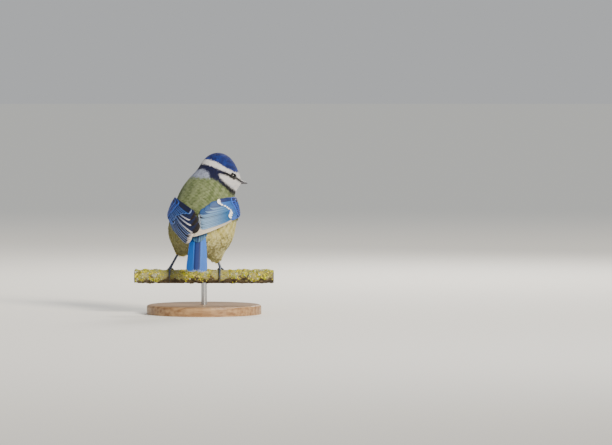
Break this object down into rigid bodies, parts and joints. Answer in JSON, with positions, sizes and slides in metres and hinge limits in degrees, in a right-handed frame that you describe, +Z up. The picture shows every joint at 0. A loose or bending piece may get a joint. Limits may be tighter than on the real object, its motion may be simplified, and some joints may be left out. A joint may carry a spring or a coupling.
{
  "type": "blue tit",
  "caption": "Life-size blue tit gripping a short lichened branch, seen from behind with its head turned to its right, on a round base with a short rod.",
  "frame": {"origin": "centre of the stand base's underside", "axes": "+Z up, +X to the bird's right along the branch, +Y away from the bird's tail"},
  "size_m": [0.104, 0.086, 0.1215],
  "materials": {
    "plumage_blue": "matte cobalt and white head feathers",
    "plumage_body": "matte olive and yellow body feathers",
    "wing_feather": "satin blue wing feathers",
    "tail_feather": "satin blue tail feathers",
    "horn": "semi-gloss dark horn",
    "eye": "wet gloss, near black",
    "leg": "satin slate-blue scaled skin",
    "bark": "rough bark under yellow-green lichen",
    "stand_wood": "satin oiled wood",
    "stand_steel": "brushed"
  },
  "bodies": {
    "root": {"head": "plumage_blue", "neck": "plumage_blue", "torso": "plumage_body", "bill_upper": "horn", "bill_lower": "horn", "eye_left": "eye", "eye_right": "eye", "wing_left": "wing_feather", "wing_right": "wing_feather", "tail": "tail_feather", "thigh_left": "plumage_body", "thigh_right": "plumage_body", "tarsus_left": "leg", "tarsus_right": "leg", "foot_left": "leg", "foot_right": "leg", "perch": "bark", "stand_base": "stand_wood", "stand_rod": "stand_steel"}
  },
  "joints": []
}
